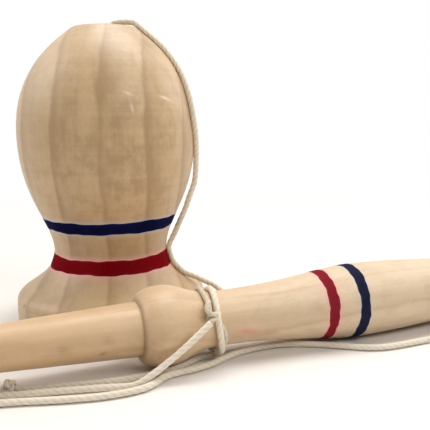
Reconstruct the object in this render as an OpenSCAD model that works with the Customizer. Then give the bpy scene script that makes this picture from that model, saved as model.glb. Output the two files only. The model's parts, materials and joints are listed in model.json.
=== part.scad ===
// Cup and ball toy of the bell-and-peg kind: turned pine with painted bands and a cotton cord.
// The bell stands on its foot, with its socket downwards, behind the stick, which lies on its
// collar and its grip. The cord runs from a knot inside the bell to a knot on the stick's neck.
// Origin: the centre of the socket's mouth, on the surface that the toy stands on.
// +Z runs up the bell and +X along the stick, from the peg to the butt. Sizes are millimetres.

/* [Bell] */
// Height of the bell
bell_h = 105; // [98:1:120]
// Radius of the flat top
top_r = 10.4; // [7:0.2:14]
// Largest radius of the bulb
bulb_r = 31; // [28:0.5:36]
// Height at which the bulb is widest
bulb_z = 69; // [64:1:75]
// Radius of the waist
waist_r = 20; // [17:0.5:23]
// Height of the waist
waist_z = 27; // [26:0.5:32]
// Radius of the foot
foot_r = 33.7; // [28:0.1:40]
// Height of the foot's upright rim
foot_rim_h = 10.8; // [8:0.2:12]
// Height of the rounded shoulder above the rim
foot_shoulder_h = 3.2; // [2:0.2:4]
// Width of the rounded shoulder
foot_shoulder_w = 2.4; // [1.5:0.1:4]
// Bevel on the foot's lower edge
foot_bevel = 0.8; // [0.4:0.1:1.5]

/* [Stick] */
// Length of the peg, from the collar to the tip
peg_len = 58; // [45:1:60]
// Radius of the peg at the collar
peg_root_r = 8.2; // [6.5:0.1:9]
// Radius of the peg at the tip
peg_tip_r = 6; // [4:0.1:6.4]
// Rounding of the peg's tip
peg_tip_round = 2.5; // [1:0.1:3.5]
// Radius of the collar where it steps off the peg
collar_seat_r = 9.4; // [9.2:0.1:10.4]
// Largest radius of the collar
collar_r = 12.3; // [11:0.1:14]
// Distance from the step to the fullest part of the collar
collar_at = 8.2; // [6:0.2:11]
// Radius of the neck
neck_r = 8.5; // [7:0.1:9.5]
// Distance from the step to the start of the neck
neck_at = 26.2; // [24:0.2:32]
// Largest radius of the grip
grip_r = 12.3; // [11:0.1:14]
// Distance from the step to the fullest part of the grip
grip_at = 75.2; // [68:0.2:85]
// Radius of the grip where the butt's dome starts
butt_r = 9.6; // [8:0.1:10.5]
// Distance from the step to the start of the butt's dome
butt_at = 122; // [110:1:140]
// Height of the butt's dome
butt_dome = 8; // [4:0.5:12]

/* [Socket] */
// Radial play of the peg's root in the socket
catch_play = 2.3; // [1:0.1:3]
// Room past the peg's tip in the straight socket
end_play = 4; // [2:0.5:6]
// Radial play of the cord in its hole
cord_hole_play = 0.6; // [0.4:0.1:1.5]
// Width of the eased mouth of the cord hole
cord_mouth = 3; // [1:0.5:4]

/* [Painted bands] */
// Depth to which the paint soaks into the wood
paint_depth = 0.2; // [0.1:0.05:0.5]
// Height of the red band's lower edge on the bell
bell_red_z = 22; // [20:0.1:24]
// Width of the red band on the bell
bell_red_w = 4.7; // [2:0.1:6]
// Height of the blue band's lower edge on the bell
bell_blue_z = 36; // [32:0.1:42]
// Width of the blue band on the bell
bell_blue_w = 3.9; // [2:0.1:6]
// Distance from the step to the red band on the grip
stick_red_at = 59.8; // [50:0.1:64]
// Width of the red band on the grip
stick_red_w = 3.4; // [2:0.1:5]
// Distance from the step to the blue band on the grip
stick_blue_at = 70.6; // [70:0.1:90]
// Width of the blue band on the grip
stick_blue_w = 3.8; // [2:0.1:5]

/* [Cord] */
// Diameter of the cord
cord_d = 2; // [1.6:0.1:2.2]
// Running clearance between the cord and the wood that turns beside it
cord_clear = 0.4; // [0.3:0.05:0.5]
// Distance between the turns round the neck
bind_pitch = 2.7; // [2.7:0.1:3.2]
// Distance from the step to the start of the turns, at the knot
bind_at = 18.8; // [18:0.1:22]
// Diameter of the stopper knot inside the bell
stopper_d = 6; // [5:0.1:7]
// Diameter of the knot on the neck
neck_knot_d = 5.2; // [4:0.1:6]
// Height of the knot on the neck
neck_knot_h = 7.4; // [6:0.1:9]
// Diameter of the knot at the end of the tail
tail_knot_d = 4; // [3:0.1:5]

/* [Layout] */
// Gap between the foot and the collar
stick_gap = 3; // [2:0.5:8]
// Place of the peg's step along X
step_x = -4.2; // [-10:0.1:0]

/* [Hidden] */

$fn = 96;
pine = [0.82, 0.69, 0.52];
peg_pine = [0.80, 0.66, 0.48];
paint_red = [0.50, 0.05, 0.10];
paint_blue = [0.07, 0.08, 0.27];
cotton = [0.86, 0.81, 0.72];

cord_r = cord_d / 2;
cord_sides = 8;
// How far a cut runs past the wood that it cuts
past = 1;
// Share of a direction along Z above which a tube counts as upright
nearly_upright = 0.9;

socket_r = peg_root_r + catch_play;
socket_len = peg_len + end_play;
cord_hole_r = cord_r + cord_hole_play;
socket_point_h = socket_r - cord_hole_r;
socket_apex_z = socket_len + socket_r;
stopper_z = socket_apex_z - (stopper_d / 2 + cord_clear) * sqrt(2);

stick_y = -(foot_r + stick_gap + collar_r);
stick_tilt = asin((grip_r - collar_r) / (grip_at - collar_at));

// The turns start in the knot, at the front, and end under the neck, where the tail leaves
bind_start_turn = 20;
bind_end_turn = 625;
bind_rings_per_turn = 24;
bind_sides = 6;
neck_knot_turn = 28;

// Steps along a long curve and along a small rounded edge
curve_steps = 14;
edge_steps = 6;
// Shares of a curve's span along which it keeps its first and its last direction
bulb_hold = [0.27, 0.56];
collar_back_hold = [0.3, 0.6];
grip_front_hold = [0.47, 0.22];
// Shares that shape the dome: straight side above the bulb, then width and drop beside the flat top
dome_side = 0.55;
dome_top_w = 0.44;
dome_top_drop = 0.175;
// Shares that shape the flare: width and rise beside the shoulder, then straight side below the waist
flare_low_w = 0.5;
flare_low_rise = 0.28;
flare_side = 0.45;
// Shares that shape the foot's shoulder: straight side above the rim, then width and drop at its top
shoulder_side = 0.45;
shoulder_top_w = 0.45;
shoulder_top_drop = 0.3;
// Shares that shape the collar's front: width and rise off its seat, then straight side at its fullest
collar_seat_w = 0.48;
collar_seat_rise = 0.1;
collar_front_side = 0.6;
// Shares that shape the grip's back: straight side at its fullest, then width and length before the butt
grip_back_side = 0.32;
grip_back_w = 0.6;
grip_back_len = 0.3;

// Outlines

function bezier(p, steps) = [
    for (i = [0 : steps])
        let (t = i / steps, u = 1 - t)
        u * u * u * p[0] + 3 * u * u * t * p[1] + 3 * u * t * t * p[2] + t * t * t * p[3]
];

// A curve that leaves one radius and reaches the next along the turning axis
function swell(from, to, hold) =
    let (span = to[1] - from[1])
    bezier([from, from + [0, hold[0] * span], to - [0, hold[1] * span], to], curve_steps);

function without_first(list) = [for (i = [1 : len(list) - 1]) list[i]];

// Radius of an outline at a height, read off its own points
function radius_at(outline, at) = lookup(at, [for (p = outline) [p[1], p[0]]]);

shoulder_start = [foot_r - foot_shoulder_w, foot_rim_h + foot_shoulder_h];
flare_w = shoulder_start[0] - waist_r;
flare_h = waist_z - shoulder_start[1];
bell_foot = [
    [foot_r - foot_bevel, 0],
    [foot_r, foot_bevel]
];
bell_shoulder = bezier([
    [foot_r, foot_rim_h],
    [foot_r, foot_rim_h + foot_shoulder_h * shoulder_side],
    shoulder_start + [foot_shoulder_w * (1 - shoulder_top_w), -foot_shoulder_h * shoulder_top_drop],
    shoulder_start
], edge_steps);
bell_flare = bezier([
    shoulder_start,
    shoulder_start + [-flare_w * flare_low_w, flare_h * flare_low_rise],
    [waist_r, waist_z - flare_h * flare_side],
    [waist_r, waist_z]
], curve_steps);
bell_bulb = swell([waist_r, waist_z], [bulb_r, bulb_z], bulb_hold);
dome_w = bulb_r - top_r;
dome_h = bell_h - bulb_z;
bell_dome = bezier([
    [bulb_r, bulb_z],
    [bulb_r, bulb_z + dome_h * dome_side],
    [top_r + dome_w * dome_top_w, bell_h - dome_h * dome_top_drop],
    [top_r, bell_h]
], curve_steps);
bell_outline = concat(
    bell_foot, bell_shoulder, without_first(bell_flare), without_first(bell_bulb), without_first(bell_dome)
);

peg_tip = [
    for (i = [0 : edge_steps])
        let (turn = 90 * i / edge_steps)
        [peg_tip_r - peg_tip_round * (1 - sin(turn)), -peg_len + peg_tip_round * (1 - cos(turn))]
];
collar_rise = collar_r - collar_seat_r;
collar_front = bezier([
    [collar_seat_r, 0],
    [collar_seat_r + collar_rise * collar_seat_w, collar_at * collar_seat_rise],
    [collar_r, collar_at * (1 - collar_front_side)],
    [collar_r, collar_at]
], curve_steps);
collar_back = swell([collar_r, collar_at], [neck_r, neck_at], collar_back_hold);
grip_front = swell([neck_r, neck_at], [grip_r, grip_at], grip_front_hold);
butt_span = butt_at - grip_at;
grip_back = bezier([
    [grip_r, grip_at],
    [grip_r, grip_at + butt_span * grip_back_side],
    [butt_r + (grip_r - butt_r) * grip_back_w, butt_at - butt_span * grip_back_len],
    [butt_r, butt_at]
], curve_steps);
butt = [
    for (i = [1 : edge_steps])
        let (turn = 90 * i / edge_steps)
        [butt_r * cos(turn), butt_at + butt_dome * sin(turn)]
];
neck_outline = concat(collar_front, without_first(collar_back), without_first(grip_front));
stick_outline = concat(
    [[0, -peg_len]], peg_tip, [[peg_root_r, 0]], neck_outline, without_first(grip_back), butt
);

// Cord routes, chosen along the cord as it lies

// From the stopper knot through the bell, over its top, down its side and off its foot
upper_route = [
    [0, 0, 69], [0, 0, 88], [0, 0, 99], [0.3, -0.1, 102.2], [1.4, -0.5, 104.2], [3, -1.2, 105.9],
    [5, -2.1, 106.5], [7.2, -3, 106.6], [9.6, -4.2, 106.3], [11.9, -5.3, 104.9], [13.6, -6.3, 103.2],
    [15.9, -7.8, 101], [18.2, -9.3, 98.4], [20.3, -11, 95.4], [22.2, -13.1, 91.9], [23.5, -15, 88.2],
    [24.4, -16.8, 84.2], [25.1, -17.9, 80.3], [25.8, -18.4, 76.2], [26.7, -18, 72.1], [27.6, -16.6, 68],
    [28.6, -14.6, 63.5], [29, -12.9, 58.5], [28.5, -11.8, 51.6], [27.4, -11.5, 48], [26.1, -11.1, 44.4],
    [24.8, -10.7, 40.8], [23.3, -10, 37.2], [21.8, -9.2, 33.4], [20.4, -8.7, 30], [19.5, -8.9, 27.6],
    [19.3, -9.3, 25.8], [19.6, -9.8, 24], [20.4, -10.3, 22.2], [21.6, -10.8, 20.6], [23, -11.5, 19.3],
    [25, -13.2, 18], [27.4, -15.8, 16.8], [29.6, -18.8, 15.8], [31.4, -22.2, 15], [32.7, -25.4, 13.8],
    [33.4, -27.6, 11.8], [33.6, -28.4, 9.6], [33.6, -28.4, 9]
];
// Upright, between the part of the cord that follows the bell and the part that lies still
drop_route = [[33.6, -28.4, 9], [33.6, -28.4, 6.2]];
// Behind the grip and round the butt
back_route = [
    [33.6, -28.4, 6.2], [33.6, -28.4, 5.7], [34.2, -28.6, 3.4], [35.8, -29.1, 1.7], [38, -29.8, 1.1],
    [45, -31.6, 1.1], [56, -33.4, 1.1], [74, -34.3, 1.1], [94, -33.6, 1.1], [109, -34.6, 1.1],
    [119, -37, 1.1], [127, -41, 1.1], [131.5, -45.5, 1.1], [132.5, -49, 1.1], [132.5, -51, 1.1]
];
// Back along the front, round a loop past the peg's tip and up to the knot, from the stick's axis
front_route = [
    [132.5, -2, 1.1], [132.5, -4, 1.1], [131, -8.5, 1.1], [126.5, -12.4, 1.1], [117, -15, 1.1],
    [98, -16.5, 1.1], [79, -17.4, 1.1], [69, -16.1, 1.1], [60.5, -10.8, 1.1], [52, -5.4, 1.1],
    [42, -1.6, 1.1], [32, -1.8, 1.1], [24, -4.2, 1.1], [16, -8, 1.1], [9, -9.8, 1.1], [3.5, -10.6, 1.1],
    [0, -12, 1.1], [-3, -14.3, 1.1], [-6.5, -16.4, 1.1], [-12, -17.4, 1.1], [-20, -17, 1.1],
    [-32, -14.2, 1.1], [-44, -10.8, 1.1], [-54, -10.2, 1.1], [-62, -11.6, 1.1], [-67, -10.4, 1.1],
    [-69, -6.4, 1.1], [-66.5, -2.6, 1.1], [-61, -1.6, 1.1], [-54, -3.4, 1.1], [-40, -7, 1.1],
    [-24, -10.4, 1.1], [-14, -13, 1.1], [-9, -14, 1.3], [-5, -14.1, 2.9], [5, -13.4, 8.8], [14.4, -12.6, 15.4]
];
// The short tail, from under the neck to the left, from the stick's axis
tail_route = [
    [19.2, 0.9, 2.1], [19.2, -1.2, 1.7], [18.4, -3, 1.3], [16.2, -4.8, 1.1], [12.6, -6.2, 1.1],
    [8.6, -7.2, 1.1], [4, -8.2, 1.1], [-3, -8.5, 1.1], [-11, -8.6, 1.1], [-19, -7.8, 1.1],
    [-28, -6.4, 1.1], [-36, -4.6, 1.1], [-40, -3, 1.1]
];
tail_knot_place = [-41.4, -2.3];

// Tubes

function unit(v) = v / norm(v);

function tangent(path, i) = unit(path[min(i + 1, len(path) - 1)] - path[max(i - 1, 0)]);

function square_off(v, along) = unit(v - (v * along) * along);

// Side directions that turn as little as possible from ring to ring
function side_directions(path) =
    let (first = tangent(path, 0), start = abs(first[2]) > nearly_upright ? [1, 0, 0] : [0, 0, 1])
    [
        for (i = 0, side = square_off(start, first);
            i < len(path);
            i = i + 1, side = i < len(path) ? square_off(side, tangent(path, i)) : side)
            side
    ];

module tube(path, radius, sides) {
    side = side_directions(path);
    rings = len(path);
    corners = [
        for (i = [0 : rings - 1])
            let (across = cross(tangent(path, i), side[i]))
            for (j = [0 : sides - 1])
                path[i] + radius * (cos(j * 360 / sides) * side[i] + sin(j * 360 / sides) * across)
    ];
    walls = [
        for (i = [0 : rings - 2])
            for (j = [0 : sides - 1])
                let (
                    a = i * sides + j,
                    b = i * sides + (j + 1) % sides,
                    c = a + sides,
                    d = b + sides
                )
                each [[a, c, d], [a, d, b]]
    ];
    last = (rings - 1) * sides;
    first_cap = [for (j = [1 : sides - 2]) [0, j, j + 1]];
    last_cap = [for (j = [1 : sides - 2]) [last, last + j + 1, last + j]];
    polyhedron(corners, concat(walls, first_cap, last_cap));
}

// Puts what is turned about Z, from the step, on the lying stick
module on_stick() {
    translate([step_x + collar_at, stick_y, collar_r])
        rotate([0, 90 - stick_tilt, 0])
            translate([0, 0, -collar_at])
                children();
}

// A point beside the stick: distance from the step, turn from the front over the top, distance from the axis
function beside_stick(at, turn, out) = [-out * sin(turn), -out * cos(turn), at];

// Bell

module bell_blank() {
    rotate_extrude()
        polygon(concat([[0, 0]], bell_outline, [[0, bell_h]]));
}

// The ring of wood that a band soaks into
module soaked_ring(outline, from, width, steps = 4) {
    outer_r = 2 * max([for (p = outline) p[0]]);
    rotate_extrude()
        polygon(concat(
            [
                for (i = [0 : steps])
                    let (at = from + width * i / steps)
                    [radius_at(outline, at) - paint_depth, at]
            ],
            [[outer_r, from + width], [outer_r, from]]
        ));
}

module bell() {
    color(pine)
        difference() {
            bell_blank();
            soaked_ring(bell_outline, bell_red_z, bell_red_w);
            soaked_ring(bell_outline, bell_blue_z, bell_blue_w);
            translate([0, 0, -past])
                cylinder(r = socket_r, h = socket_len + past);
            translate([0, 0, socket_len])
                cylinder(r1 = socket_r, r2 = cord_hole_r, h = socket_point_h);
            translate([0, 0, socket_len])
                cylinder(r = cord_hole_r, h = bell_h);
            translate([0, 0, bell_h - cord_mouth])
                cylinder(r1 = cord_hole_r, r2 = cord_hole_r + cord_mouth + past, h = cord_mouth + past);
        }
}

module bell_red_band() {
    color(paint_red)
        intersection() {
            bell_blank();
            soaked_ring(bell_outline, bell_red_z, bell_red_w);
        }
}

module bell_blue_band() {
    color(paint_blue)
        intersection() {
            bell_blank();
            soaked_ring(bell_outline, bell_blue_z, bell_blue_w);
        }
}

// Stick

module stick_blank() {
    rotate_extrude()
        polygon(stick_outline);
}

module stick() {
    color(peg_pine)
        on_stick()
            difference() {
                stick_blank();
                soaked_ring(stick_outline, stick_red_at, stick_red_w);
                soaked_ring(stick_outline, stick_blue_at, stick_blue_w);
            }
}

module stick_red_band() {
    color(paint_red)
        on_stick()
            intersection() {
                stick_blank();
                soaked_ring(stick_outline, stick_red_at, stick_red_w);
            }
}

module stick_blue_band() {
    color(paint_blue)
        on_stick()
            intersection() {
                stick_blank();
                soaked_ring(stick_outline, stick_blue_at, stick_blue_w);
            }
}

// Cord and knots

module stopper_knot() {
    color(cotton)
        translate([0, 0, stopper_z])
            sphere(d = stopper_d);
}

module cord_upper() {
    color(cotton)
        tube(upper_route, cord_r, cord_sides);
}

module cord_drop() {
    color(cotton)
        tube(drop_route, cord_r, cord_sides);
}

module cord_back() {
    color(cotton)
        tube(back_route, cord_r, cord_sides);
}

module cord_front() {
    color(cotton)
        translate([0, stick_y, 0])
            tube(front_route, cord_r, cord_sides);
}

module cord_tail() {
    color(cotton)
        translate([0, stick_y, 0])
            tube(tail_route, cord_r, cord_sides);
}

// One unbroken run of turns round the neck, with straight ends one diameter long
bind_rings = ceil((bind_end_turn - bind_start_turn) / 360 * bind_rings_per_turn);
bind_turns = [
    for (i = [0 : bind_rings])
        let (
            turn = bind_start_turn + (bind_end_turn - bind_start_turn) * i / bind_rings,
            at = bind_at + bind_pitch * (turn - bind_start_turn) / 360
        )
        beside_stick(at, turn, radius_at(neck_outline, at) + cord_clear + cord_r)
];
bind_path = concat(
    [bind_turns[0] - cord_d * unit(bind_turns[1] - bind_turns[0])],
    bind_turns,
    [bind_turns[bind_rings] + cord_d * unit(bind_turns[bind_rings] - bind_turns[bind_rings - 1])]
);
bind_gap = min([
    for (i = [0 : bind_rings - bind_rings_per_turn / 2])
        for (j = [i + bind_rings_per_turn / 2 : bind_rings])
            norm(bind_turns[i] - bind_turns[j])
]) - cord_d;
echo(least_gap_between_turns = bind_gap);

module neck_binding() {
    color(cotton)
        on_stick()
            tube(bind_path, cord_r, bind_sides);
}

// A barrel with round ends, standing on the turns
module neck_knot() {
    knot_r = neck_knot_d / 2;
    out = radius_at(neck_outline, bind_at) + 2 * cord_clear + knot_r;
    color(cotton)
        on_stick()
            translate(beside_stick(bind_at, neck_knot_turn, out))
                rotate([0, 0, -neck_knot_turn])
                    rotate([0, 90, 0])
                        rotate_extrude()
                            intersection() {
                                union() {
                                    translate([0, neck_knot_h / 2 - knot_r])
                                        circle(r = knot_r);
                                    translate([0, knot_r - neck_knot_h / 2])
                                        circle(r = knot_r);
                                    translate([0, knot_r - neck_knot_h / 2])
                                        square([knot_r, neck_knot_h - neck_knot_d]);
                                }
                                translate([0, -neck_knot_h])
                                    square([neck_knot_d, 2 * neck_knot_h]);
                            }
}

module tail_knot() {
    color(cotton)
        translate([tail_knot_place[0], stick_y + tail_knot_place[1], tail_knot_d / 2])
            sphere(d = tail_knot_d);
}

bell();
bell_red_band();
bell_blue_band();
stick();
stick_red_band();
stick_blue_band();
stopper_knot();
cord_upper();
cord_drop();
cord_back();
cord_front();
neck_binding();
neck_knot();
cord_tail();
tail_knot();
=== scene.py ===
"""Looks of a bell-and-peg toy: turned pine with painted bands, and a twisted cotton cord tied to both pieces.

Lengths are metres in the part's own frame: +Z up the bell, +X along the lying stick, from peg to butt.
"""
import json
import math

import bpy
import numpy as np
from mathutils import Matrix, Vector


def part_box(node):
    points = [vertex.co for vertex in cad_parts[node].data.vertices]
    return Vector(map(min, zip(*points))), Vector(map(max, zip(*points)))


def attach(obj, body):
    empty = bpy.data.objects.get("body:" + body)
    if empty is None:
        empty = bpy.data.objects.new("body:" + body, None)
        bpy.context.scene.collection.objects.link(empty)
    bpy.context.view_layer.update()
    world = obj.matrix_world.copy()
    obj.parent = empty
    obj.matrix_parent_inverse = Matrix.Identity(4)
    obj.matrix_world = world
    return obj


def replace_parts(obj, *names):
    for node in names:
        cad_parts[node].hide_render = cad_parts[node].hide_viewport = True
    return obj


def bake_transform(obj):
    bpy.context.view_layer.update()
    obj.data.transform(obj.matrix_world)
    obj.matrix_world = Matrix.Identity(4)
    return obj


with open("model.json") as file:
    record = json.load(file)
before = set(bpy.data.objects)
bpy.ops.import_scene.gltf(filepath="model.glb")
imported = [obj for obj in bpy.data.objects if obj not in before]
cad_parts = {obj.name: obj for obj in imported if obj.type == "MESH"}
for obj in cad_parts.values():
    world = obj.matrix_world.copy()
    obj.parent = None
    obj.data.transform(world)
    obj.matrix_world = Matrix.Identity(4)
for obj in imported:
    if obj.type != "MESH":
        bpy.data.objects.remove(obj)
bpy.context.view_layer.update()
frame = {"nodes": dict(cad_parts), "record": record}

MM = 0.001
X, Z = 0, 2

# Camera at the photograph's viewing angle: place, heading, downward pitch, roll and lens
CAMERA_PLACE = Vector((-52.0, -229.5, 76.6)) * MM
CAMERA_HEADING = math.radians(22.04)
CAMERA_PITCH = math.radians(9.25)
CAMERA_ROLL = math.radians(0.54)
CAMERA_CLIP = 10 * MM
SENSOR_MM = 36.0
FOCAL_PX = 650
PHOTO_PX = 430

# Places that the solids give, and the step between the peg and the collar
BELL_AXIS = (0, 0, 0)
STICK_LOW, STICK_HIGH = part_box("stick")
STICK_AXIS = (STICK_LOW + STICK_HIGH) / 2
STEP_X = -4.2 * MM

# Points of a solid that differ by less than this are at one place
NEAR = 0.01 * MM
NEAR_STEP = 0.05 * MM
PLACE_DIGITS = 6

# Turned surfaces: steps along their outlines, rounding of small edges, and the turn that stays a sharp corner
RING_STEP = 0.45 * MM
SOCKET_STEP = 2 * RING_STEP
EASE = 0.9 * MM
EASE_REACH = 3
SHARP_TURN = math.radians(60)
TURNED_SIDES = 176
TURNED_ANGLES = np.arange(TURNED_SIDES) * 2 * math.pi / TURNED_SIDES

# Points this close to the socket's wall and this far below the top aren't on the bell's outside
SOCKET_CLEAR = 0.5 * MM
TOP_CLEAR = 0.1 * MM
# All of the outside that a cord or paint touches is further from the axis than this
OUTSIDE_R = 11 * MM

# Dark line in the corner between the peg and the collar: partly the joint's own line, partly painted shade in
# the corner
SEAM_AND_SHADE_REACH = 0.35 * MM
SEAM_AND_SHADE_STRENGTH = 0.5

# Painted bands: rings across a band, height over the wood and depth in it
BAND_RINGS = 12
PAINT_SKIN = 0.05 * MM
PAINT_ROOT = 0.15 * MM
# Waves of a brushed edge: height, waves round the piece, and share of the band's phase that shifts them
EDGE_WAVES = [(0.14 * MM, 2, 1), (0.1 * MM, 5, 2.1), (0.11 * MM, 11, 0.7), (0.07 * MM, 23, 3)]
UPPER_EDGE_PHASE = 2
# The higher, the closer the thin paint keeps to a band's edges
EDGE_FADE = 6

# Smooth curves: spread of the points along them, and short pieces between two points
SPLINE_POWER = 0.7
SPLINE_PIECES = 24

# Cord: diameter, strands, length of one full twist, depth and form of the grooves between strands
CORD_D = 2 * MM
STRANDS = 3
CORD_SIDES = 24
CORD_LAY = 6.6 * MM
GROOVE = 0.13
GROOVE_POWER = 2.2
CORD_STEP = 0.42 * MM
# Its thickness swells by this share, in two waves that beat together
SWELL = 0.035
SWELL_RUNS = (3.1 * MM, 7.7 * MM)
SWELL_SHIFT = 1
# Past this share of Z, a cord's first stretch counts as upright
NEARLY_UPRIGHT = 0.9
# From its middle to wood that it is pressed to
LAID_R = 0.46 * CORD_D
# Half its thickness where the tie on the neck and the knot at the tail's end pull it thin
TIED_R = 0.78 * MM
END_KNOT_R = 0.62 * MM
# A cord whose middle is this close to the bell lies against it; further off, it hangs free
CLOSE_AT = 1.35 * MM
LOOSE_AT = 2.3 * MM

# Knots pulled tight: turns and lobes of the path, its mean reach, sway and rise as shares of the knot's size
KNOT_TURNS = 2
KNOT_LOBES = 3
KNOT_REACH = 0.56
KNOT_SWAY = 0.26
KNOT_RISE = 0.55
KNOT_POINTS = 120
STOPPER_SIZE = 2.6 * MM
STOPPER_AXIS = (0, 0, 1)
END_KNOT_SIZE = 1.7 * MM
END_KNOT_AXIS = (0.3, -0.9, 0.35)

# Routes of the cord, in millimetres, as in the solids
UPPER_ROUTE = [
    (0, 0, 69), (0, 0, 88), (0, 0, 99), (0.3, -0.1, 102.2), (1.4, -0.5, 104.2), (3, -1.2, 105.9),
    (5, -2.1, 106.5), (7.2, -3, 106.6), (9.6, -4.2, 106.3), (11.9, -5.3, 104.9), (13.6, -6.3, 103.2),
    (15.9, -7.8, 101), (18.2, -9.3, 98.4), (20.3, -11, 95.4), (22.2, -13.1, 91.9), (23.5, -15, 88.2),
    (24.4, -16.8, 84.2), (25.1, -17.9, 80.3), (25.8, -18.4, 76.2), (26.7, -18, 72.1), (27.6, -16.6, 68),
    (28.6, -14.6, 63.5), (29, -12.9, 58.5), (28.5, -11.8, 51.6), (27.4, -11.5, 48), (26.1, -11.1, 44.4),
    (24.8, -10.7, 40.8), (23.3, -10, 37.2), (21.8, -9.2, 33.4), (20.4, -8.7, 30), (19.5, -8.9, 27.6),
    (19.3, -9.3, 25.8), (19.6, -9.8, 24), (20.4, -10.3, 22.2), (21.6, -10.8, 20.6), (23, -11.5, 19.3),
    (25, -13.2, 18), (27.4, -15.8, 16.8), (29.6, -18.8, 15.8), (31.4, -22.2, 15), (32.7, -25.4, 13.8),
    (33.4, -27.6, 11.8), (33.6, -28.4, 9),
]
BACK_ROUTE = [
    (33.6, -28.4, 6.2), (34.2, -28.6, 3.4), (35.8, -29.1, 1.7), (38, -29.8, 1.1), (45, -31.6, 1.1),
    (56, -33.4, 1.1), (74, -34.3, 1.1), (94, -33.6, 1.1), (109, -34.6, 1.1), (119, -37, 1.1),
    (127, -41, 1.1), (131.5, -45.5, 1.1),
]
# The next three are measured from the floor below the stick's axis
FRONT_ROUTE = [
    (132.7, -1, 1.1), (131, -8.5, 1.1), (126.5, -12.4, 1.1), (117, -15, 1.1), (98, -16.5, 1.1),
    (79, -17.4, 1.1), (69, -16.1, 1.1), (60.5, -10.8, 1.1), (52, -5.4, 1.1), (42, -1.6, 1.1),
    (32, -1.8, 1.1), (24, -4.2, 1.1), (16, -8, 1.1), (9, -9.8, 1.1), (3.5, -10.6, 1.1), (0, -12, 1.1),
    (-3, -14.3, 1.1), (-6.5, -16.4, 1.1), (-12, -17.4, 1.1), (-20, -17, 1.1), (-32, -14.2, 1.1),
    (-44, -10.8, 1.1), (-54, -10.2, 1.1), (-62, -11.6, 1.1), (-67, -10.4, 1.1), (-69, -6.4, 1.1),
    (-66.5, -2.6, 1.1), (-61, -1.6, 1.1), (-54, -3.4, 1.1), (-40, -7, 1.1), (-24, -10.4, 1.1),
    (-14, -13, 1.1), (-9, -14, 1.3), (-5, -14.1, 2.9), (5, -13.4, 8.8), (14.4, -12.4, 15.4),
]
TAIL_ROUTE = [
    (18.5, -9.8, 10.8), (19.2, -9, 7.6), (20.2, -7, 4.8), (20.4, -4.2, 2.7), (18.6, -1.9, 1.5),
    (15.4, -1.6, 1.1), (12, -3.2, 1.1), (8.4, -5.6, 1.1), (4, -7.6, 1.1), (-3, -8.5, 1.1),
    (-11, -8.6, 1.1), (-19, -7.8, 1.1), (-28, -6.4, 1.1), (-36, -4.6, 1.1), (-40, -3, 1.1),
]
TIE_ROUTE = [
    (15.6, -6.9, 20.6), (15.2, -8.7, 20.2), (14.2, -10, 19.4), (14.3, -10.9, 18.3), (15.4, -11.2, 17.6),
    (16.8, -10.4, 17.2), (17.6, -9.2, 16.6), (17.4, -9, 15.8), (16.6, -10.4, 15.9), (15.4, -11.6, 16),
    (14.2, -11.9, 15.2), (13.6, -12, 14.4),
]
# Turns round the neck: degrees from the front over the top, distance from the step, lift off the wood
NECK_TURNS = [
    (20, 19.2, 1), (41, 19.8, 0.4), (58, 19.9, 0), (78, 19.9, 0), (106, 20.6, 0), (140, 21.2, 0),
    (180, 21.6, 0), (230, 22.4, 0), (280, 23.8, 0), (320, 24.9, 0), (346, 24.6, 0), (360, 23.5, 0),
    (376, 21.8, 0.3), (392, 20.2, 0.6),
]
TAIL_TURNS = [
    (-98, 25.6, 0), (-130, 25.2, 0), (-180, 24.6, 0), (-220, 24.3, 0), (-256, 23.9, 0), (-280, 23.4, 0),
    (-298, 22.9, 0), (-319, 22.4, 0), (-335, 22.1, 0.2), (-350, 22.4, 0.2),
]
# Millimetres of cord to a degree of a turn, step between places along the turns, and every which one is used
MM_PER_DEGREE = 0.15
TURN_STEP = 1.0
TURN_EVERY = 3

# Colours, as linear red, green and blue
WHITE = (1, 1, 1, 1)
BELL_LIGHT = (0.59, 0.405, 0.215, 1)
BELL_DARK = (0.35, 0.205, 0.085, 1)
# The stick goes from the peg's colour to the paler grip's: partly the wood's own tone, partly painted light
PEG_LIGHT = (0.63, 0.415, 0.22, 1)
GRIP_LIGHT = (0.72, 0.555, 0.37, 1)
STICK_DARK = (0.45, 0.27, 0.125, 1)
RED_PAINT = (0.185, 0.001, 0.003, 1)
RED_THIN = (0.30, 0.015, 0.025, 1)
BLUE_PAINT = (0.003, 0.003, 0.026, 1)
BLUE_THIN = (0.012, 0.02, 0.13, 1)
STICK_RED = (0.21, 0.012, 0.02, 1)
STICK_RED_THIN = (0.36, 0.04, 0.06, 1)
STICK_BLUE = (0.014, 0.014, 0.034, 1)
STICK_BLUE_THIN = (0.04, 0.042, 0.09, 1)
RED_HALO = (0.82, 0.38, 0.33, 1)
BLUE_HALO = (0.55, 0.53, 0.56, 1)
SCRATCH = (0.86, 0.66, 0.46, 1)
# Dark specks; this colour also paints the shade in the corner at the peg's step
SPECK_AND_SEAM_SHADE = (0.20, 0.10, 0.04, 1)
SMEAR = (0.66, 0.25, 0.18, 1)
# Cotton, and its darker colour for painted shade in the grooves and for darker fibres and patches
COTTON = (0.84, 0.745, 0.6, 1)
COTTON_DEEP = (0.55, 0.45, 0.34, 1)
# A darker copy of the cord's cotton for the tie on the neck: painted shade
SHADED_TIE_COTTON = (0.66, 0.56, 0.41, 1)
SHADED_TIE_DEEP = (0.39, 0.30, 0.205, 1)
FLOOR_SEEN = (0.81, 0.765, 0.715, 1)
FLOOR_BOUNCE = (0.86, 0.84, 0.81, 1)

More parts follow.
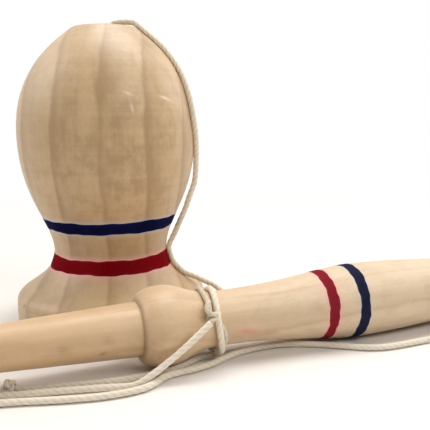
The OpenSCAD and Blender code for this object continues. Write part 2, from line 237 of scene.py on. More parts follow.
# A piece's bands: colour, paint where it pooled and where it is thin, phase of the edges, and how far and how
# strongly the paint crept into the wood
BELL_BANDS = [
    ("red", RED_PAINT, RED_THIN, 0.4, 0.8 * MM, 1.0),
    ("blue", BLUE_PAINT, BLUE_THIN, 1.7, 0.6 * MM, 0.75),
]
STICK_BANDS = [
    ("red", STICK_RED, STICK_RED_THIN, 0.9, 0.8 * MM, 0.95),
    ("blue", STICK_BLUE, STICK_BLUE_THIN, 2.6, 0.5 * MM, 0.6),
]

# Small marks of wear, in millimetres: centre, direction, length, width, strength, colour
BELL_MARKS = [
    ((13.2, -26.4, 80.3), (4.7, 2, -1.6), 2.4, 0.5, 0.8, SCRATCH),
    ((0.2, -29.1, 81.8), (1.6, -0.2, -0.6), 1.4, 0.5, 0.6, SCRATCH),
    ((1.2, -30.2, 77.2), (0.4, -0.4, -2.4), 1.6, 0.45, 0.6, SCRATCH),
    ((-32.5, -8.4, 11.5), (1, -1, 0), 0.7, 0.6, 0.7, SPECK_AND_SEAM_SHADE),
]
STICK_MARKS = [
    ((28.2, -57.2, 9.6), (1, 0, -0.2), 3.6, 1.2, 0.8, SMEAR),
    ((-27.4, -56.3, 11.9), (1, 0, 0.2), 1.5, 1.2, 0.34, SPECK_AND_SEAM_SHADE),
    ((-16.1, -55.9, 8.9), (1, 0, 0.3), 1.3, 0.6, 0.55, SPECK_AND_SEAM_SHADE),
    ((-14.7, -56.7, 13.1), (1, 0, 0), 1.6, 1.4, 0.22, SPECK_AND_SEAM_SHADE),
]

# How the wood was sawn: the direction across its growth lines, and the one in which they fan out
BELL_SAWN = ((0.927, -0.375, 0), (-0.375, -0.927, 0))
STICK_SAWN = ((0, 0.8, 0.6), (0, -0.6, 0.8))

# Noise in wood and paint: scale for a millimetre across the grain and along it, detail and roughness
SLOW_WANDER = (0.05, 0.014, 3.0, 0.5)
QUICK_WANDER = (0.2, 0.09, 3.0, 0.5)
UNEVEN_LINES = (0.09, 0.045, 2.0, 0.5)
FIBRES = (1.6, 0.05, 4.0, 0.6)
PATCHES = (0.11, 0.05, 4.0, 0.6)
TURNING_MARKS = (0.03, 0.55, 3.0, 0.6)
BLOTCHES = (0.17, 0.11, 5.0, 0.68)
PAINT_FIBRES = (1.3, 0.12, 3.0, 0.6)

# Growth lines: how far they stray, in millimetres, how uneven they are, and the spacing of the fine ones
SLOW_STRAY = 5.0
QUICK_STRAY = 1.8
LINE_UNEVENNESS = 1.5
FINE_SPACING = 0.29
# Shade across one year's growth: a thin dark edge that fades into the next year's pale wood
GROWTH_LINE = [
    (0, 0.4), (0.025, 0.95), (0.055, 1), (0.1, 0.7), (0.2, 0.42), (0.42, 0.24), (0.75, 0.06), (0.94, 0),
    (1, 0.4),
]
FINE_LINE = [(0, 0.5), (0.35, 0.1), (0.8, 0), (1, 0.5)]

# What darkens the wood: its plain shade, fine lines, fibres, stains for a share of its mottle, and soil
BASE_SHADE = 0.04
FINE_SHADE = 0.12
FIBRE_SHADE = 0.4
STAIN_SHARE = 0.25
STAIN = [(0.5, 0), (0.58, 0.7), (0.7, 1)]
SOIL_BASE = 0.2
SOIL_UNEVENNESS = 1.7
# Dark places get no darker past a limit that they near slowly
SHADE_LIMIT = [(0, 0), (0.5, 0.5), (0.8, 0.72), (1, 0.8)]

# Wood of two colours goes from the first to the second between these places along X, in millimetres: partly
# the wood's own tone, partly painted light that makes the grip end paler
FIRST_COLOUR_X = -30
SECOND_COLOUR_X = 70
# How ragged the fibres make marks and soaked-in paint
MARK_RAGGED = 2
CREEP_RAGGED = 1.2

# Relief: shares of fibres and turning marks in the wood's; then each material's bump strength and depth
FIBRE_RELIEF = 0.7
TURNING_RELIEF = 0.8
WOOD_BUMP = (0.3, 0.12 * MM)
PAINT_BUMP = (0.3, 0.1 * MM)
COTTON_BUMP = (0.5, 0.15 * MM)
WOOD_ROUGHNESS = 0.46
ROUGHNESS_STRAY = 0.2

# Paint: scale and detail of its pools, and how thin it is all over, along fibres, between pools and at edges
PAINT_POOLS = (0.12, 2.0)
THIN_ALL_OVER = 0.1
THIN_FIBRES = 0.5
THIN_POOLS = 0.5
THIN_EDGES = 0.55

# Cotton: fibres round the cord and along a twist, their detail and roughness, scale and detail of patches,
# and how much the painted shade in the grooves, the fibres and the patches darken it
COTTON_FIBRES = (14.0, 1.4, 1.0)
COTTON_FIBRE_DETAIL = (4.0, 0.65)
COTTON_PATCHES = (0.08, 2.0)
GROOVE_SHADE = 0.38
COTTON_FIBRE_SHADE = 0.3
COTTON_PATCH_SHADE = 0.3

# Floor: half its side, and the distances between which it fades to plain white
FLOOR_HALF = 4.0
FADE_FROM = 0.15
FADE_TO = 0.42

# Light from all sides, and soft lamps: name, place, width and depth, power. They face one place on the toy.
ROOM_LIGHT = 0.11
LAMP_TARGET = Vector((0.02, -0.02, 0.04))
LAMPS = [
    ("top_softbox", (0.2, 0.13, 0.9), (0.7, 0.5), 7.6),
    ("front_softbox", (0.25, -0.6, 0.58), (0.5, 0.3), 2.4),
    ("left_softbox", (-0.65, 0.25, 0.58), (0.6, 0.6), 3.6),
    ("right_softbox", (0.75, 0.1, 0.4), (0.5, 0.5), 1.9),
]


# Camera

def photo_camera():
    """A camera where the photograph was taken."""
    forward = Vector((
        math.sin(CAMERA_HEADING) * math.cos(CAMERA_PITCH),
        math.cos(CAMERA_HEADING) * math.cos(CAMERA_PITCH),
        -math.sin(CAMERA_PITCH),
    ))
    level_right = Vector((math.cos(CAMERA_HEADING), -math.sin(CAMERA_HEADING), 0))
    level_down = forward.cross(level_right)
    right = level_right * math.cos(CAMERA_ROLL) + level_down * math.sin(CAMERA_ROLL)
    down = forward.cross(right)
    data = bpy.data.cameras.new("photo_camera")
    data.sensor_width = SENSOR_MM
    data.lens = SENSOR_MM * FOCAL_PX / PHOTO_PX
    data.clip_start = CAMERA_CLIP
    camera = bpy.data.objects.new("photo_camera", data)
    facing = Matrix((right, -down, -forward)).transposed().to_4x4()
    camera.matrix_world = Matrix.Translation(CAMERA_PLACE) @ facing
    bpy.context.scene.collection.objects.link(camera)
    bpy.context.scene.camera = camera


# Meshes and lines

def mesh_object(name, points, faces, material, smooth=True):
    mesh = bpy.data.meshes.new(name)
    mesh.from_pydata([tuple(p) for p in points], [], faces)
    mesh.polygons.foreach_set("use_smooth", [smooth] * len(mesh.polygons))
    mesh.materials.append(material)
    mesh.update()
    obj = bpy.data.objects.new(name, mesh)
    bpy.context.scene.collection.objects.link(obj)
    return obj


def points_of(obj):
    return np.array([v.co for v in obj.data.vertices])


def set_values(obj, name, values):
    """Keeps one number per point, for the materials to read."""
    layer = obj.data.attributes.new(name, "FLOAT", "POINT")
    layer.data.foreach_set("value", np.asarray(values, np.float32))


def grid_faces(rings, sides, close_rings=False):
    """Quads between neighbouring rings of points; each ring is closed."""
    last = rings if close_rings else rings - 1
    return [
        (i * sides + j, i * sides + (j + 1) % sides,
         (i + 1) % rings * sides + (j + 1) % sides, (i + 1) % rings * sides + j)
        for i in range(last)
        for j in range(sides)
    ]


def run_along(points):
    """How far along the line each of its points is."""
    return np.concatenate([[0], np.cumsum(np.linalg.norm(np.diff(points, axis=0), axis=1))])


def along_line(points, step):
    """The same line with its points an equal, short step apart."""
    points = np.asarray(points, float)
    at = run_along(points)
    count = max(2, int(round(at[-1] / step)) + 1)
    wanted = np.linspace(0, at[-1], count)
    return np.stack([np.interp(wanted, at, points[:, k]) for k in range(points.shape[1])], 1)


def spline(points, step):
    """A smooth curve through the points, with equal short steps."""
    points = np.asarray(points, float)
    count = len(points)
    gap = np.linalg.norm(np.diff(points, axis=0), axis=1) ** SPLINE_POWER
    slope = np.diff(points, axis=0) / gap[:, None]
    system = np.eye(count)
    target = np.zeros_like(points)
    for i in range(1, count - 1):
        system[i, i - 1:i + 2] = gap[i - 1], 2 * (gap[i - 1] + gap[i]), gap[i]
        target[i] = 6 * (slope[i] - slope[i - 1])
    bend = np.linalg.solve(system, target)
    fine = []
    for i in range(count - 1):
        t = np.linspace(0, gap[i], SPLINE_PIECES, endpoint=False)[:, None]
        rise = slope[i] - gap[i] * (2 * bend[i] + bend[i + 1]) / 6
        change = (bend[i + 1] - bend[i]) / (6 * gap[i])
        fine.append(points[i] + rise * t + bend[i] / 2 * t ** 2 + change * t ** 3)
    fine.append(points[-1:])
    return along_line(np.concatenate(fine), step)


# Turned wood

def reach_along(node, axis):
    """A node's lowest and highest place along an axis."""
    return [corner[axis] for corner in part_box(node)]


def solid_rings(node, bands, axis, centre):
    """(radius, place along the axis) pairs of a turned solid, without the floors of its bands' grooves."""
    first, second = (k for k in range(3) if k != axis)
    co = points_of(frame["nodes"][node])
    radius = np.hypot(co[:, first] - centre[first], co[:, second] - centre[second])
    pairs = np.stack([radius, co[:, axis]], 1)
    for name in bands:
        low, high = reach_along(name, axis)
        pairs = pairs[(pairs[:, 1] < low + NEAR) | (pairs[:, 1] > high - NEAR)]
    return pairs


def outermost(pairs):
    """The outer one of the points at each place, in order along the axis."""
    best = {}
    for radius, at in pairs:
        key = round(at, PLACE_DIGITS)
        best[key] = max(best.get(key, 0), radius)
    return np.array([(best[key], key) for key in sorted(best)])


def radius_at(outline, places):
    """An outline's radius at places along its axis."""
    order = np.argsort(outline[:, 1])
    return np.interp(places, outline[order, 1], outline[order, 0])


def ease(points):
    """Rounds an outline's small facets and edges, and keeps the corners that are really sharp."""
    run = np.diff(points, axis=0)
    heading = np.unwrap(np.arctan2(run[:, 1], run[:, 0]))
    corners = np.flatnonzero(np.abs(np.diff(heading)) > SHARP_TURN) + 1
    ends = [0, *corners, len(points) - 1]
    reach = int(EASE_REACH * EASE / RING_STEP)
    weights = np.exp(-0.5 * (np.arange(-reach, reach + 1) * RING_STEP / EASE) ** 2)
    weights /= weights.sum()
    eased = []
    for first, last in zip(ends, ends[1:]):
        line = along_line(points[first:last + 1], RING_STEP)
        pad = min(reach, len(line) - 1)
        before = 2 * line[0] - line[pad:0:-1]
        after = 2 * line[-1] - line[-2:-2 - pad:-1]
        padded = np.concatenate([before, line, after])
        if pad == reach:
            line = np.stack([np.convolve(padded[:, k], weights, "valid") for k in range(2)], 1)
        eased.append(line if not eased else line[1:])
    return np.concatenate(eased)


def ring_points(radius, places, axis, centre):
    """Points on rings about an axis; a ring's radius and place may change round it."""
    first, second = (k for k in range(3) if k != axis)
    points = np.zeros((len(radius), TURNED_SIDES, 3))
    points[..., first] = centre[first] + radius * np.cos(TURNED_ANGLES)
    points[..., second] = centre[second] + radius * np.sin(TURNED_ANGLES)
    points[..., axis] = places
    return points.reshape(-1, 3)


def turned(name, outline, axis, centre, material, closed):
    """Turns an outline of (radius, place) pairs about the axis; an open one starts and ends on the axis."""
    inner = outline if closed else outline[1:-1]
    points = ring_points(inner[:, :1], inner[:, 1:], axis, centre)
    faces = grid_faces(len(inner), TURNED_SIDES, closed)
    if not closed:
        tips = np.zeros((2, 3))
        tips[:] = centre
        tips[0, axis], tips[1, axis] = outline[0, 1], outline[-1, 1]
        first, last = len(points), len(points) + 1
        points = np.concatenate([points, tips])
        end = (len(inner) - 1) * TURNED_SIDES
        for j in range(TURNED_SIDES):
            k = (j + 1) % TURNED_SIDES
            faces.append((first, k, j))
            faces.append((last, end + j, end + k))
    obj = mesh_object(name, points, faces, material)
    obj.data.validate()
    return obj


def bell_loop():
    """The bell's whole outline: foot, flare, bulb and flat top, then cord hole, socket point and socket."""
    solid = solid_rings("bell", ("bell_red_band", "bell_blue_band"), Z, BELL_AXIS)
    socket = frame["record"]["mounts"][0]["dims"]
    socket_r = socket["r_mm"] * MM
    socket_len = socket["length_mm"] * MM
    top = solid[:, 1].max()
    hole_r = solid[:, 0].min()
    mouth_r = solid[np.abs(solid[:, 1] - top) < NEAR, 0].min()
    point_z = socket_len + socket_r - hole_r
    in_socket = (solid[:, 0] < socket_r + SOCKET_CLEAR) & (solid[:, 1] < top - TOP_CLEAR)
    outside = ease(np.concatenate([
        [(socket_r, 0)],
        outermost(solid[~in_socket]),
        [(mouth_r, top), (hole_r, top - mouth_r + hole_r), (hole_r, point_z)],
    ]))
    within = along_line([(hole_r, point_z), (socket_r, socket_len), (socket_r, 0)], SOCKET_STEP)
    return np.concatenate([outside, within[1:-1]])


def stick_line():
    """The stick's outline from the peg's tip to the butt, with the step at the collar."""
    solid = solid_rings("stick", ("stick_red_band", "stick_blue_band"), X, STICK_AXIS)
    outer = outermost(solid)
    step = np.searchsorted(outer[:, 1], STEP_X - NEAR)
    peg_root = solid[np.abs(solid[:, 1] - STEP_X) < NEAR_STEP, 0].min()
    return ease(np.concatenate([outer[:step], [(peg_root, STEP_X)], outer[step:]]))


# Nodes of a material

def add(tree, kind, inputs=None, **settings):
    """A node with its settings, and its inputs by name or number: a socket is linked, a value is set."""
    node = tree.nodes.new(kind)
    for name, value in settings.items():
        setattr(node, name, value)
    for name, value in (inputs or {}).items():
        put(tree, value, node.inputs[name])
    return node


def put(tree, value, socket):
    if isinstance(value, bpy.types.NodeSocket):
        tree.links.new(value, socket)
    else:
        socket.default_value = value


def calc(tree, operation, *values):
    return add(tree, "ShaderNodeMath", dict(enumerate(values)), operation=operation).outputs[0]


def scaled(tree, value, factor, base):
    return calc(tree, "MULTIPLY_ADD", value, factor, base)


def weighted(tree, parts, total=0.0):
    """The sum of the parts, each times its weight, and of a given start."""
    for part, weight in parts:
        total = scaled(tree, part, weight, total)
    return total


def stretched(tree, where, scale):
    return add(tree, "ShaderNodeVectorMath", {0: where, 1: scale}, operation="MULTIPLY").outputs[0]


def dot(tree, where, direction):
    node = add(tree, "ShaderNodeVectorMath", {0: where, 1: direction}, operation="DOT_PRODUCT")
    return node.outputs["Value"]


def place_in_mm(tree):
    """The point of the surface, in millimetres."""
    return stretched(tree, add(tree, "ShaderNodeTexCoord").outputs["Object"], [1 / MM] * 3)


def noise(tree, where, scale, detail, rough=0.5):
    """Noise about zero, from -0.5 to 0.5."""
    inputs = {"Vector": where, "Scale": scale, "Detail": detail, "Roughness": rough}
    return calc(tree, "SUBTRACT", add(tree, "ShaderNodeTexNoise", inputs).outputs["Fac"], 0.5)


def grain_noise(tree, place, grain_axis, across, along, detail, rough):
    """Noise that is drawn out along the grain."""
    scale = [across] * 3
    scale[grain_axis] = along
    return noise(tree, stretched(tree, place, scale), 1.0, detail, rough)


def mix(tree, share, first, second):
    """From the first colour to the second, by a share that is kept between nothing and all."""
    node = add(tree, "ShaderNodeMix", data_type="RGBA", clamp_factor=True)
    for name, value in (("Factor_Float", share), ("A_Color", first), ("B_Color", second)):
        put(tree, value, next(s for s in node.inputs if s.identifier == name))
    return next(s for s in node.outputs if s.identifier == "Result_Color")


def ramp(tree, share, stops):
    node = add(tree, "ShaderNodeValToRGB", {"Fac": share})
    elements = node.color_ramp.elements
    while len(elements) < len(stops):
        elements.new(0.5)
    for element, (place, value) in zip(elements, stops):
        element.position = place
        element.color = (value, value, value, 1)
    return node.outputs["Color"]


def map_range(tree, value, low, high, **settings):
    """Nothing at the low value, one at the high one."""
    inputs = {"Value": value, "From Min": low, "From Max": high}
    return add(tree, "ShaderNodeMapRange", inputs, **settings).outputs[0]


def attribute(tree, name):
    return add(tree, "ShaderNodeAttribute", attribute_name=name).outputs["Fac"]


def new_material(name, **shader):
    material = bpy.data.materials.new(name)
    material.use_nodes = True
    tree = material.node_tree
    surface = tree.nodes["Principled BSDF"]
    for socket, value in shader.items():
        surface.inputs[socket.replace("_", " ")].default_value = value
    return material, tree, surface


def bump(tree, surface, height, strength, distance):
    node = add(tree, "ShaderNodeBump", {"Height": height, "Strength": strength, "Distance": distance})
    tree.links.new(node.outputs["Normal"], surface.inputs["Normal"])


# Materials

def falloff(tree, place, centre, along, length, width):
    """One at a point of the surface, fading to nothing at an oblong reach about it."""
    from_centre = add(tree, "ShaderNodeVectorMath", {0: place, 1: centre}, operation="SUBTRACT").outputs[0]
    run = dot(tree, from_centre, along)
    run_squared = calc(tree, "MULTIPLY", run, run)
    beside = calc(tree, "SUBTRACT", dot(tree, from_centre, from_centre), run_squared)
    reach = weighted(tree, ((run_squared, -1 / length ** 2), (beside, -1 / width ** 2)))
    return calc(tree, "EXPONENT", reach)


def pine(
    name, grain_axis, sawn, fan, spacing, line_at, line_depth, mottle, lathe_depth, light, dark, soil, marks
):
    """Sanded pine: growth lines in depth, fibres along the grain, turning marks, wear and soaked-in paint.

    light is one colour, or two colours that the wood goes through along X, the paler one partly the wood's
    own tone and partly painted light. soil is where handling has
    darkened it: centre, reach along the grain and across it. marks are small places of another colour.
    """
    material, tree, surface = new_material(
        name, Specular_IOR_Level=0.6, Sheen_Weight=0.15, Sheen_Roughness=0.5
    )
    place = place_in_mm(tree)
    slow, quick, uneven, fibre, patch, turning, blotch = (
        grain_noise(tree, place, grain_axis, *kind)
        for kind in (SLOW_WANDER, QUICK_WANDER, UNEVEN_LINES, FIBRES, PATCHES, TURNING_MARKS, BLOTCHES)
    )
    side, depth = (dot(tree, place, direction) for direction in sawn)
    wandering = weighted(tree, ((slow, SLOW_STRAY), (quick, QUICK_STRAY)), side)
    growth = calc(tree, "DIVIDE", wandering, scaled(tree, depth, fan, 1.0))
    phase = calc(tree, "FRACT", calc(tree, "DIVIDE", calc(tree, "SUBTRACT", growth, line_at), spacing))
    line = ramp(tree, phase, GROWTH_LINE)
    line = calc(tree, "MULTIPLY", line, scaled(tree, uneven, LINE_UNEVENNESS, 1.0))
    fine_phase = calc(tree, "FRACT", calc(tree, "DIVIDE", growth, spacing * FINE_SPACING))
    fine_line = ramp(tree, fine_phase, FINE_LINE)
    stain = ramp(tree, calc(tree, "ADD", blotch, 0.5), STAIN)

    centre, length, width = soil
    along_grain = [float(k == grain_axis) for k in range(3)]
    soiled = falloff(tree, place, centre, along_grain, length, width)
    soiled = calc(tree, "MULTIPLY", soiled, scaled(tree, blotch, SOIL_UNEVENNESS, SOIL_BASE))
    shade = weighted(tree, (
        (line, line_depth), (soiled, 1.0), (fine_line, FINE_SHADE), (fibre, FIBRE_SHADE), (patch, mottle),
        (turning, lathe_depth), (stain, mottle * STAIN_SHARE),
    ), BASE_SHADE)

    base = light[0]
    # Paler towards the grip: partly the wood's own tone, partly painted light
    if len(light) == 2:
        along_x = add(tree, "ShaderNodeSeparateXYZ", {0: place}).outputs["X"]
        base = mix(tree, map_range(tree, along_x, FIRST_COLOUR_X, SECOND_COLOUR_X), *light)
    colour = mix(tree, ramp(tree, shade, SHADE_LIMIT), base, dark)
    for centre, along, length, width, strength, tint in marks:
        spot = falloff(tree, place, centre, Vector(along).normalized(), length, width)
        worn = calc(tree, "MULTIPLY", spot, scaled(tree, fibre, strength * MARK_RAGGED, strength))
        colour = mix(tree, worn, colour, tint)
    # Painted shade in the corner at the peg's step, partly the joint's own dark line
    colour = mix(tree, attribute(tree, "seam_and_shade"), colour, SPECK_AND_SEAM_SHADE)
    ragged = scaled(tree, fibre, CREEP_RAGGED, 1.0)
    for creep, halo in (("red_bleed", RED_HALO), ("blue_bleed", BLUE_HALO)):
        colour = mix(tree, calc(tree, "MULTIPLY", attribute(tree, creep), ragged), colour, halo)
    tree.links.new(colour, surface.inputs["Base Color"])

    bump(tree, surface, weighted(tree, ((fibre, FIBRE_RELIEF), (turning, TURNING_RELIEF))), *WOOD_BUMP)
    tree.links.new(scaled(tree, fibre, ROUGHNESS_STRAY, WOOD_ROUGHNESS), surface.inputs["Roughness"])
    return material


def paint(name, thick, thin, grain_axis):
    """Matt paint soaked into the wood: darker where it pooled, thinner along the fibres and at its edges."""
    material, tree, surface = new_material(name, Roughness=0.75, Specular_IOR_Level=0.02)
    place = place_in_mm(tree)
    fibre = grain_noise(tree, place, grain_axis, *PAINT_FIBRES)
    pooled = noise(tree, place, *PAINT_POOLS)
    worn = weighted(tree, (
        (fibre, THIN_FIBRES), (pooled, THIN_POOLS), (attribute(tree, "edge"), THIN_EDGES)
    ), THIN_ALL_OVER)
    tree.links.new(mix(tree, worn, thick, thin), surface.inputs["Base Color"])
    bump(tree, surface, fibre, *PAINT_BUMP)
    return material


def cotton(name, light, deep):
    """Twisted unbleached cotton: fine fibres along each strand, with painted shade in the grooves."""
    material, tree, surface = new_material(name, Roughness=0.85, Sheen_Weight=0.25, Sheen_Roughness=0.4)
    along_cord = add(tree, "ShaderNodeTexCoord").outputs["UV"]
    fibre = noise(tree, stretched(tree, along_cord, COTTON_FIBRES), 1.0, *COTTON_FIBRE_DETAIL)
    patch = noise(tree, place_in_mm(tree), *COTTON_PATCHES)
    shade = weighted(tree, (
        (attribute(tree, "painted_groove_shade"), GROOVE_SHADE), (fibre, COTTON_FIBRE_SHADE), (patch, COTTON_PATCH_SHADE)
    ))
    tree.links.new(mix(tree, shade, light, deep), surface.inputs["Base Color"])
    bump(tree, surface, fibre, *COTTON_BUMP)
    return material


# Cord

def cord_mesh(name, path, material, radius=CORD_D / 2):
    """A twisted cord along a path of equal steps: strands with grooves between them, closed at both ends."""
    rings = len(path)
    tangent = np.gradient(path, axis=0)
    tangent /= np.linalg.norm(tangent, axis=1)[:, None]
    upright = abs(tangent[0, Z]) > NEARLY_UPRIGHT
    start = np.array((1.0, 0, 0) if upright else (0, 0, 1.0))
    side = np.zeros_like(path)
    for i in range(rings):
        start = start - np.dot(start, tangent[i]) * tangent[i]
        start /= np.linalg.norm(start)
        side[i] = start
    across = np.cross(tangent, side)
    run = run_along(path)
    corner = np.arange(CORD_SIDES) * 2 * math.pi / CORD_SIDES
    strand = 2 * math.pi / STRANDS
    from_crest = np.abs((corner + strand / 2) % strand - strand / 2) / (strand / 2)
    dip = from_crest ** GROOVE_POWER
    swell = 1 + SWELL * np.sin(run / SWELL_RUNS[0]) * np.sin(run / SWELL_RUNS[1] + SWELL_SHIFT)
    profile = radius * swell[:, None] * (1 - GROOVE * dip[None, :])
    turn = corner[None, :] + run[:, None] * 2 * math.pi / CORD_LAY
    offset = side[:, None, :] * np.cos(turn)[..., None] + across[:, None, :] * np.sin(turn)[..., None]
    points = (path[:, None, :] + profile[..., None] * offset).reshape(-1, 3)
    faces = [face[::-1] for face in grid_faces(rings, CORD_SIDES)]
    last = (rings - 1) * CORD_SIDES
    faces.append(tuple(range(CORD_SIDES)))
    faces.append(tuple(range(last + CORD_SIDES - 1, last - 1, -1)))
    obj = mesh_object(name, points, faces, material)
    # How deep each point lies in a groove, for the cotton's painted shade in the grooves
    set_values(obj, "painted_groove_shade", np.tile(dip, rings))
    layer = obj.data.uv_layers.new(name="UVMap")
    corners = np.zeros(len(obj.data.loops), np.int32)
    obj.data.loops.foreach_get("vertex_index", corners)
    u = np.tile(np.arange(CORD_SIDES) / CORD_SIDES, rings)
    v = np.repeat(run / CORD_LAY, CORD_SIDES)
    layer.data.foreach_set("uv", np.stack([u, v], 1)[corners].astype(np.float32).ravel())
    return obj


def millimetres(points, origin=(0, 0, 0)):
    return np.asarray(points, float) * MM + np.asarray(origin)


def tight_knot(node, size, axis):
    """A pulled-tight knot in a node's place: a closed path that winds three times through itself."""
    low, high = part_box(node)
    centre = (low + high) / 2
    axes = Vector(axis).to_track_quat("Z", "Y").to_matrix()
    path = []
    for t in np.linspace(0, 2 * math.pi, KNOT_POINTS):
        turn = KNOT_TURNS * t
        lobe = KNOT_LOBES * t
        reach = size * (KNOT_REACH + KNOT_SWAY * math.cos(lobe))
        point = Vector((reach * math.cos(turn), reach * math.sin(turn), size * KNOT_RISE * math.sin(lobe)))
        path.append(tuple(centre + axes @ point))
    return along_line(path, CORD_STEP)


def against_bell(path, outline):
    """The same path with the stretches beside the bell's outside laid against its wood."""
    outside = outline[outline[:, 0] > OUTSIDE_R]
    laid = path.copy()
    for i, (x, y, z) in enumerate(path):
        radius = math.hypot(x, y)
        off = np.array((radius, z)) - outside
        away = np.linalg.norm(off, axis=1)
        nearest = away.argmin()
        if radius > OUTSIDE_R and away[nearest] < LOOSE_AT:
            wanted = np.interp(away[nearest], (CLOSE_AT, LOOSE_AT), (LAID_R, LOOSE_AT))
            shift = off[nearest] / away[nearest] * (wanted - away[nearest])
            laid[i] += (shift[0] * x / radius, shift[0] * y / radius, shift[1])
    return laid


def round_neck(turns, outline):
    """A path through the given turns, close to the neck's wood between them."""
    unit = (MM_PER_DEGREE, 1, 1)
    fine = spline(np.array(turns) * unit, TURN_STEP) / unit
    places = []
    for turn, at, lift in fine[::TURN_EVERY]:
        x = STEP_X + at * MM
        out = radius_at(outline, x) + LAID_R + lift * MM
        angle = math.radians(turn)
        places.append((x, STICK_AXIS.y - out * math.cos(angle), STICK_AXIS.z + out * math.sin(angle)))
    return np.array(places)


def dress_cord(bell_outline, stick_outline):
    """The cord, its tail, the tie on the neck and the knots at both ends."""
    clean = cotton("cotton_cord", COTTON, COTTON_DEEP)
    # The tie on the neck gets the darker cotton: painted shade
    shaded_tie = cotton("shaded_tie_cotton", SHADED_TIE_COTTON, SHADED_TIE_DEEP)
    below_stick = (0, STICK_AXIS.y, 0)
    route = np.concatenate([
        millimetres(UPPER_ROUTE), millimetres(BACK_ROUTE), millimetres(FRONT_ROUTE, below_stick)
    ])
    main_path = along_line(against_bell(spline(route, CORD_STEP), bell_outline), CORD_STEP)
    main = cord_mesh("cord", main_path, clean)
    tail_route = np.concatenate([
        round_neck(TAIL_TURNS, stick_outline), millimetres(TAIL_ROUTE, below_stick)
    ])
    tail_path = spline(tail_route, CORD_STEP)
    tail = cord_mesh("tail", tail_path, clean)
    binding_path = spline(round_neck(NECK_TURNS, stick_outline), CORD_STEP)
    binding = cord_mesh("neck_turns", binding_path, shaded_tie, TIED_R)
    tie_path = spline(millimetres(TIE_ROUTE, below_stick), CORD_STEP)
    neck_knot = cord_mesh("neck_tie", tie_path, shaded_tie, TIED_R)
    stopper = cord_mesh("stopper", tight_knot("stopper_knot", STOPPER_SIZE, STOPPER_AXIS), clean)
    end_path = tight_knot("tail_knot", END_KNOT_SIZE, END_KNOT_AXIS)
    end_knot = cord_mesh("tail_end", end_path, clean, END_KNOT_R)
    for piece, nodes in (
        (main, ("cord_upper", "cord_drop", "cord_back", "cord_front")), (tail, ("cord_tail",)),
        (binding, ("neck_binding",)), (neck_knot, ("neck_knot",)), (stopper, ("stopper_knot",)),
        (end_knot, ("tail_knot",)),
    ):
        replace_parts(piece, *nodes)
    for piece in (tail, binding, neck_knot, end_knot):
        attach(piece, "cord")
    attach(stopper, "tether_end")
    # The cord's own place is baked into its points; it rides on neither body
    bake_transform(main)


# Painted bands

def edge_wave(phase):
    """How far a brushed edge strays from a true circle."""
    return sum(height * np.sin(waves * TURNED_ANGLES + share * phase) for height, waves, share in EDGE_WAVES)


def band(name, node, outline, axis, centre, material, phase):
    """A thin skin of paint over the wood, with brushed edges."""
    low, high = reach_along(node, axis)
    lower = low + edge_wave(phase)
    upper = high + edge_wave(phase + UPPER_EDGE_PHASE)
    share = np.linspace(0, 1, BAND_RINGS)
    share = np.concatenate([share, share[::-1]])
    depth = np.repeat([PAINT_SKIN, -PAINT_ROOT], BAND_RINGS)
    places = lower + share[:, None] * (upper - lower)
    radius = radius_at(outline, places) + depth[:, None]
    points = ring_points(radius, places, axis, centre)
    obj = mesh_object(name, points, grid_faces(len(share), TURNED_SIDES, True), material)
    set_values(obj, "edge", np.repeat(np.abs(2 * share - 1) ** EDGE_FADE, TURNED_SIDES))
    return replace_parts(obj, node)


def bleed(obj, axis, node, reach, strength, name):
    """How much of a band's paint has crept into the wood beside it."""
    low, high = reach_along(node, axis)
    at = points_of(obj)[:, axis]
    beyond = np.maximum(low - at, at - high)
    set_values(obj, name, strength * np.exp(-np.maximum(beyond, 0) / reach))


# Turned pieces

def dress_turning(piece, body, outline, axis, centre, bands):
    """Puts a turning in its solid's place, with its painted bands and their creep into its wood."""
    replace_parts(piece, body)
    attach(piece, body)
    for colour, thick, thin, phase, reach, strength in bands:
        node = f"{body}_{colour}_band"
        bleed(piece, axis, node, reach, strength, f"{colour}_bleed")
        look = paint(f"{body}_{colour}_paint", thick, thin, axis)
        skin = band(f"{body}_{colour}", node, outline, axis, centre, look, phase)
        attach(skin, body)


def dress_bell():
    wood = pine(
        "bell_pine", Z, BELL_SAWN, fan=0.016, spacing=10.45, line_at=1.3, line_depth=0.8, mottle=0.75,
        lathe_depth=0.55, light=(BELL_LIGHT,), dark=BELL_DARK, soil=((-5.7, -30, 62), 24, 21),
        marks=BELL_MARKS
    )
    loop = bell_loop()
    bell = turned("bell_turning", loop, Z, BELL_AXIS, wood, True)
    dress_turning(bell, "bell", loop[loop[:, 0] > OUTSIDE_R], Z, BELL_AXIS, BELL_BANDS)
    return loop


def dress_stick():
    wood = pine(
        "stick_pine", X, STICK_SAWN, fan=0.01, spacing=7.5, line_at=1.5, line_depth=0.34, mottle=0.7,
        lathe_depth=0.12, light=(PEG_LIGHT, GRIP_LIGHT), dark=STICK_DARK, soil=((4, -61, 10), 9, 8),
        marks=STICK_MARKS
    )
    line = stick_line()
    stick = turned("stick_turning", line, X, STICK_AXIS, wood, False)
    # A dark line at the peg's step: partly the joint's own line, partly painted shade in the corner
    from_step = np.abs(points_of(stick)[:, X] - STEP_X)
    set_values(stick, "seam_and_shade", SEAM_AND_SHADE_STRENGTH * np.exp(-from_step / SEAM_AND_SHADE_REACH))
    dress_turning(stick, "stick", line, X, STICK_AXIS, STICK_BANDS)
    return line


# Stage

def mix_shaders(tree, share, first, second):
    return add(tree, "ShaderNodeMixShader", {0: share, 1: first.outputs[0], 2: second.outputs[0]})


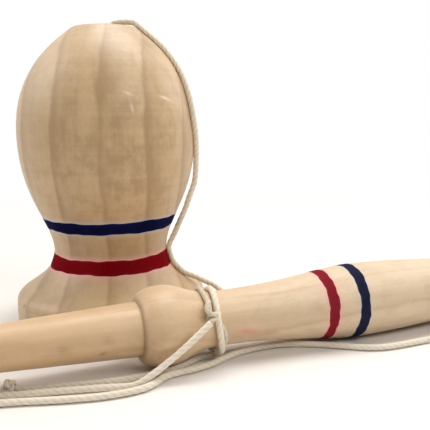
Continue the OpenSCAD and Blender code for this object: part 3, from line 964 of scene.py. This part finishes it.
def seen_plainly(tree):
    """One for the rays that show the surroundings: the camera's, mirrored ones and those through glass."""
    path = add(tree, "ShaderNodeLightPath")
    mirrored = calc(tree, "MAXIMUM", path.outputs["Is Glossy Ray"], path.outputs["Is Transmission Ray"])
    return calc(tree, "MAXIMUM", path.outputs["Is Camera Ray"], mirrored)


def floor():
    """White floor: it keeps the object's shadow near the object and fades to plain white further off."""
    material, tree, surface = new_material(
        "floor_white", Base_Color=FLOOR_BOUNCE, Roughness=0.9, Specular_IOR_Level=0.0
    )
    place = add(tree, "ShaderNodeTexCoord").outputs["Object"]
    away = add(tree, "ShaderNodeVectorMath", {0: place}, operation="LENGTH").outputs["Value"]
    far = map_range(tree, away, FADE_FROM, FADE_TO, interpolation_type="SMOOTHSTEP")
    near = add(tree, "ShaderNodeBsdfDiffuse", {"Color": FLOOR_SEEN})
    white = add(tree, "ShaderNodeEmission", {"Color": WHITE, "Strength": 1.0})
    shown = mix_shaders(tree, far, near, white)
    choice = mix_shaders(tree, seen_plainly(tree), surface, shown)
    tree.links.new(choice.outputs[0], tree.nodes["Material Output"].inputs["Surface"])
    half = FLOOR_HALF
    points = [(-half, -half, 0), (half, -half, 0), (half, half, 0), (-half, half, 0)]
    mesh_object("floor", points, [(0, 1, 2, 3)], material, smooth=False)


def softbox(name, place, size, power):
    data = bpy.data.lights.new(name, "AREA")
    data.shape = "RECTANGLE"
    data.size, data.size_y = size
    data.energy = power
    lamp = bpy.data.objects.new(name, data)
    lamp.location = place
    lamp.rotation_euler = (LAMP_TARGET - Vector(place)).to_track_quat("-Z", "Y").to_euler()
    bpy.context.scene.collection.objects.link(lamp)


def light():
    """Dim surroundings that look white, and the lamps."""
    world = bpy.data.worlds.new("white_surroundings")
    bpy.context.scene.world = world
    world.use_nodes = True
    tree = world.node_tree
    tree.nodes.clear()
    room = add(tree, "ShaderNodeBackground", {"Color": WHITE, "Strength": ROOM_LIGHT})
    white = add(tree, "ShaderNodeBackground", {"Color": WHITE, "Strength": 1.0})
    choice = mix_shaders(tree, seen_plainly(tree), room, white)
    out = add(tree, "ShaderNodeOutputWorld")
    tree.links.new(choice.outputs[0], out.inputs["Surface"])
    for lamp in LAMPS:
        softbox(*lamp)


photo_camera()
dress_cord(dress_bell(), dress_stick())
floor()
light()
bpy.context.scene.view_settings.view_transform = "Standard"
